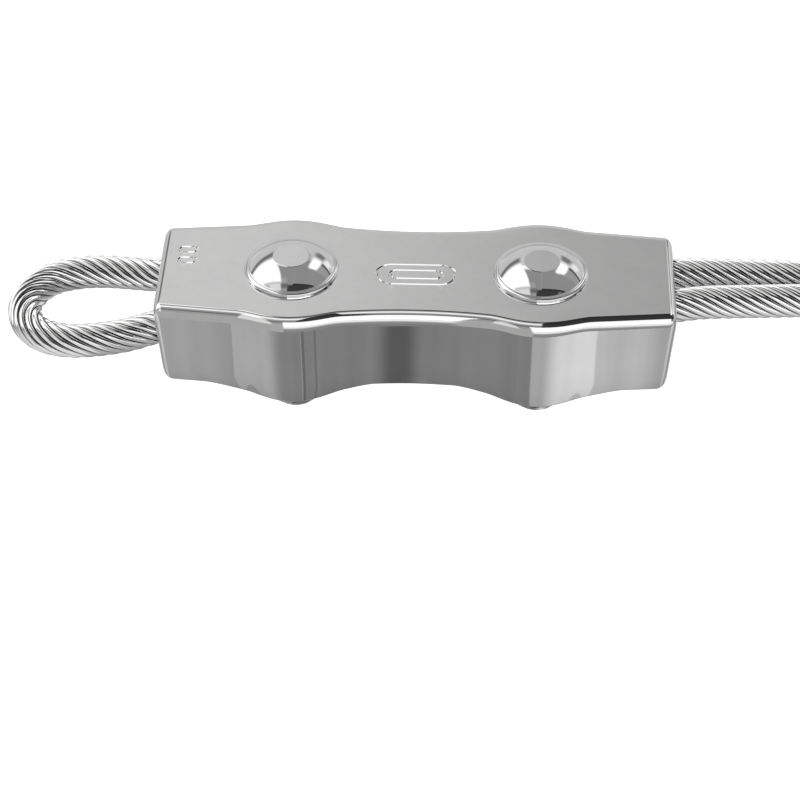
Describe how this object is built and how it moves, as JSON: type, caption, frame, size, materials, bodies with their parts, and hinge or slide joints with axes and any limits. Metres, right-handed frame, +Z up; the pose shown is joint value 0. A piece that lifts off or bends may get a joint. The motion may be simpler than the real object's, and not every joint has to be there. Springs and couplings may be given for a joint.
{
  "type": "wire rope clip",
  "caption": "Pressed stainless wire rope clip: nested U shells, cup-head bolts and nuts grip a rope folded back into an eye.",
  "frame": {"origin": "middle of the cover's flat top face, halfway between the two bolt axes", "axes": "+X along the clip, from the rope eye towards the two rope ends; +Y across the clip; +Z up, out of the top face on the bolt-head side"},
  "size_m": [0.1197, 0.0202, 0.0211],
  "materials": {
    "cover_steel": "mirror polished stainless steel",
    "bolt_steel": "mirror polished stainless steel",
    "plate_steel": "satin stainless steel",
    "nut_steel": "bright turned stainless steel",
    "rope_steel": "bright drawn stainless wire"
  },
  "bodies": {
    "cover": {"cover_shell": "cover_steel", "bolt_left": "bolt_steel", "bolt_right": "bolt_steel", "wire_rope": "rope_steel"},
    "clamp": {"clamp_plate": "plate_steel", "lock_washer_left": "nut_steel", "lock_washer_right": "nut_steel"},
    "nut_left": {"nut_left": "nut_steel"},
    "nut_right": {"nut_right": "nut_steel"}
  },
  "joints": [
    {"name": "clamp_slide", "type": "slide", "parent": "cover", "child": "clamp", "axis": [0, 0, -1], "range_m": [0, 0.003]},
    {"name": "nut_left_turn", "type": "hinge", "parent": "clamp", "child": "nut_left", "pos_m": [-0.01445, 0, -0.0117], "axis": [0, 0, 1], "range_deg": [-1081, 0]},
    {"name": "nut_right_turn", "type": "hinge", "parent": "clamp", "child": "nut_right", "pos_m": [0.01445, 0, -0.0117], "axis": [0, 0, 1], "range_deg": [-1081, 0]}
  ],
  "couplings": [
    {"joint": "nut_left_turn", "follows": "clamp_slide", "rad_per_m": -6283.2},
    {"joint": "nut_right_turn", "follows": "clamp_slide", "rad_per_m": -6283.2}
  ]
}
